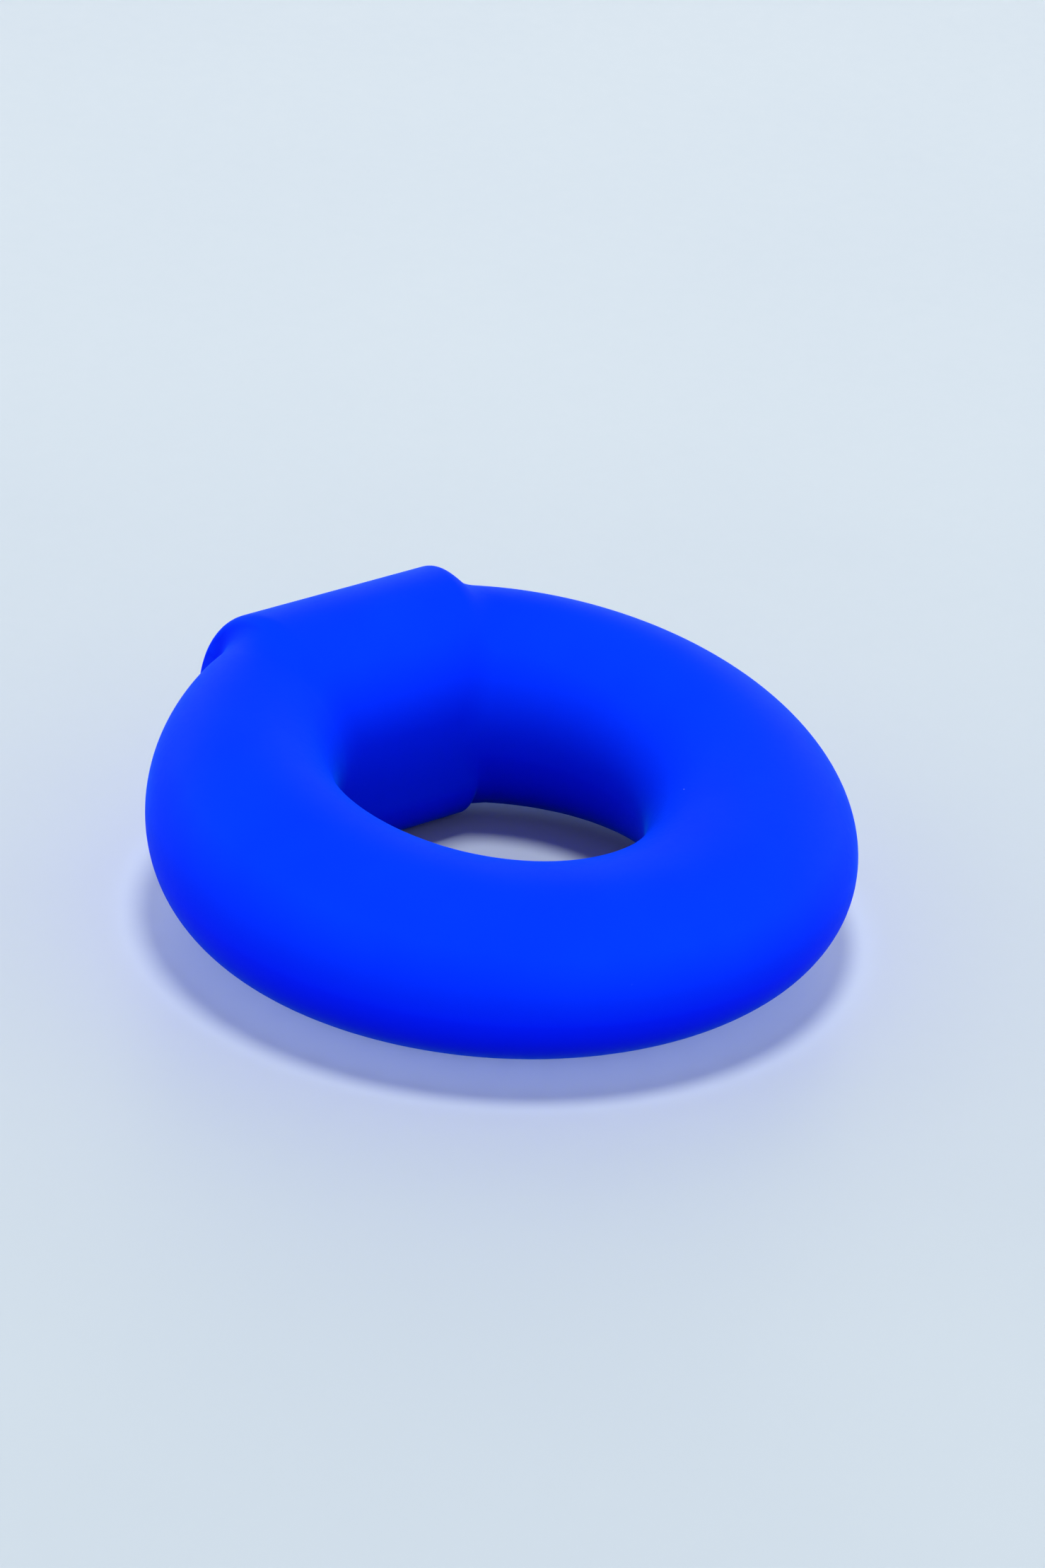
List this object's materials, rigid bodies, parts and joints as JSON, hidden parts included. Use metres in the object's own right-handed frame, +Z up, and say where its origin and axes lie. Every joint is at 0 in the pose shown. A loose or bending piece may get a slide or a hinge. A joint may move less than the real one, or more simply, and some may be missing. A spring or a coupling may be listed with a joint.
{
  "type": "elastomer stretch ring with grip block",
  "caption": "Thick soft blue rubber ring of oval section that lies flat, with a straight arched grip block closing its back.",
  "frame": {"origin": "centre of the band's outer circle, on the plane that the ring lies on; it is within 0.5 mm of the centre of the whole footprint", "axes": "+Z up out of the resting plane and along the hole; +Y from the centre towards the grip block; +X along the block"},
  "size_m": [0.07, 0.0694, 0.0247],
  "materials": {
    "band_rubber": "soft-touch matt moulded silicone, cobalt blue",
    "block_rubber": "soft-touch matt moulded silicone, cobalt blue"
  },
  "bodies": {
    "root": {"band": "band_rubber", "block": "block_rubber"}
  },
  "joints": []
}
